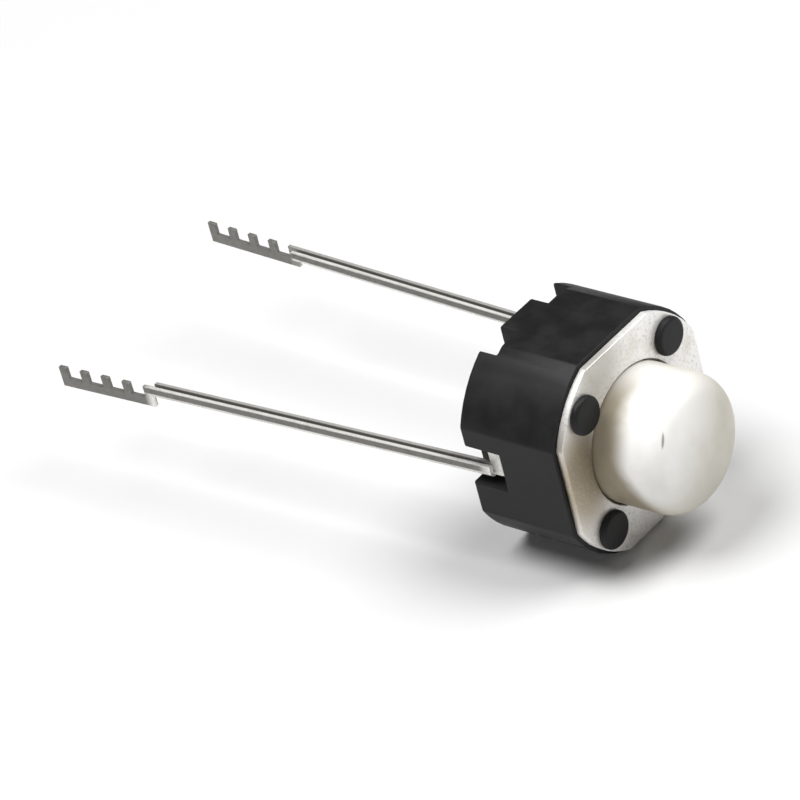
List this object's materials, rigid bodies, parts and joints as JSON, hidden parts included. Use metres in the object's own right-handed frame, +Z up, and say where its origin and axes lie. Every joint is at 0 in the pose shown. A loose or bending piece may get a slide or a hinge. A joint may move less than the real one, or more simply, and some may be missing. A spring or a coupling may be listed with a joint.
{
  "type": "pushbutton",
  "caption": "Tactile pushbutton with a round black housing, a staked metal cover, a wide white stem and long folded leads with comb-cut ends.",
  "frame": {"origin": "on the ground, under the centre of the part's outline in plan, with the switch lying on one of its flats", "axes": "+Z up from the ground; +X along the part, from the lead tips towards the stem; +Y across the leads, from the near one to the far one"},
  "size_m": [0.0178, 0.0062, 0.0054],
  "materials": {
    "black_plastic": "satin moulding",
    "cover_metal": "satin plated sheet",
    "white_plastic": "smooth moulding",
    "dome_metal": "bright sheet",
    "tinned_strip": "tin plated"
  },
  "bodies": {
    "body": {"housing": "black_plastic", "cover_plate": "cover_metal", "snap_dome": "dome_metal", "centre_terminal": "tinned_strip", "outer_terminal": "tinned_strip"},
    "stem": {"stem": "white_plastic"}
  },
  "joints": [
    {"name": "press", "type": "slide", "parent": "body", "child": "stem", "axis": [-1, 0, 0], "range_m": [0, 0.00025], "stiffness_N_per_m": 6400, "deforming": ["snap_dome"]}
  ]
}
